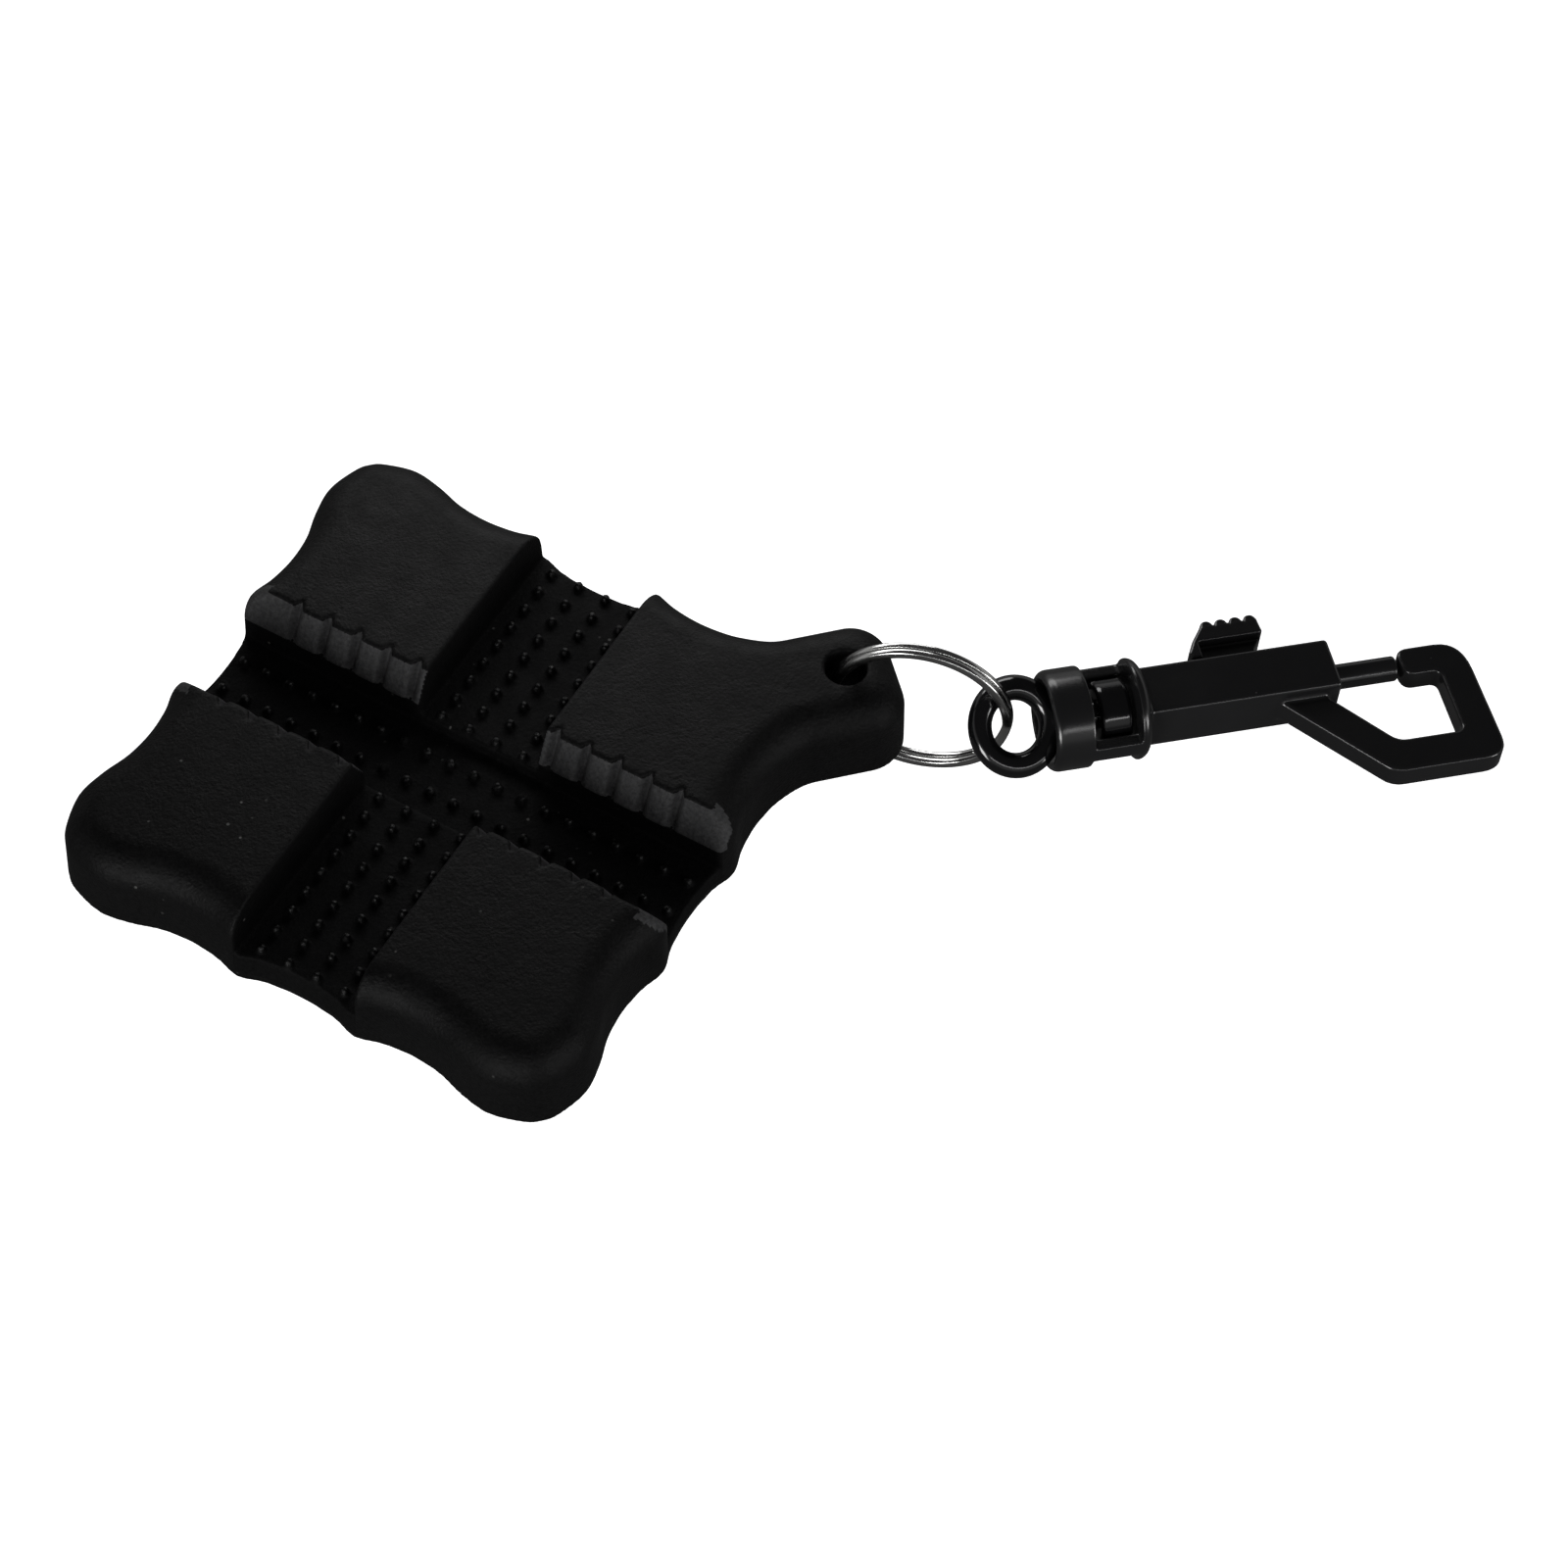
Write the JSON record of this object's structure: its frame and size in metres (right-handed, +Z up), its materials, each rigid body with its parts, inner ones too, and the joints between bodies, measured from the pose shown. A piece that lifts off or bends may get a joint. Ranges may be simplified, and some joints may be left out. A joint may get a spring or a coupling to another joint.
{
  "type": "club groove brush",
  "caption": "Square black rubber club scrub block with crossing nub-lined channels and a corner lug, hung from a split ring and a swivel snap hook.",
  "frame": {"origin": "centre of the scrub block's flat base", "axes": "+X along the block's diagonal to the lug and the clip, +Z up through the block, from its base to the nubbed channels"},
  "size_m": [0.1811, 0.0986, 0.0238],
  "materials": {
    "rubber": "matte, fine moulded grain",
    "ring_metal": "bright nickel plate",
    "eye_plastic": "glossy black",
    "clip_plastic": "satin to gloss black",
    "spring_steel": "plain drawn wire"
  },
  "bodies": {
    "block": {"scrub_block": "rubber"},
    "ring": {"split_ring": "ring_metal"},
    "eye": {"swivel_eye": "eye_plastic"},
    "hook": {"hook_body": "clip_plastic", "bolt_spring": "spring_steel"},
    "bolt": {"bolt_pin": "clip_plastic", "thumb_slide": "clip_plastic"}
  },
  "joints": [
    {"name": "ring_swing", "type": "hinge", "parent": "block", "child": "ring", "pos_m": [0.0515, 0, 0.007], "axis": [0, 0, 1], "range_deg": [-62, 112]},
    {"name": "eye_slide", "type": "hinge", "parent": "ring", "child": "eye", "pos_m": [0.06039, -0.00459, 0.007], "axis": [-0.4587, -0.8886, 0], "range_deg": [-75, 75]},
    {"name": "hook_swivel", "type": "hinge", "parent": "eye", "child": "hook", "pos_m": [0.0712, -0.0106, 0.007], "axis": [0.9987, -0.0262, -0.0436], "continuous": true},
    {"name": "bolt_slide", "type": "slide", "parent": "hook", "child": "bolt", "axis": [-0.9987, 0.0262, 0.0436], "range_m": [0, 0.0072], "stiffness_N_per_m": 350, "springref_m": -0.004, "deforming": ["bolt_spring"]}
  ]
}
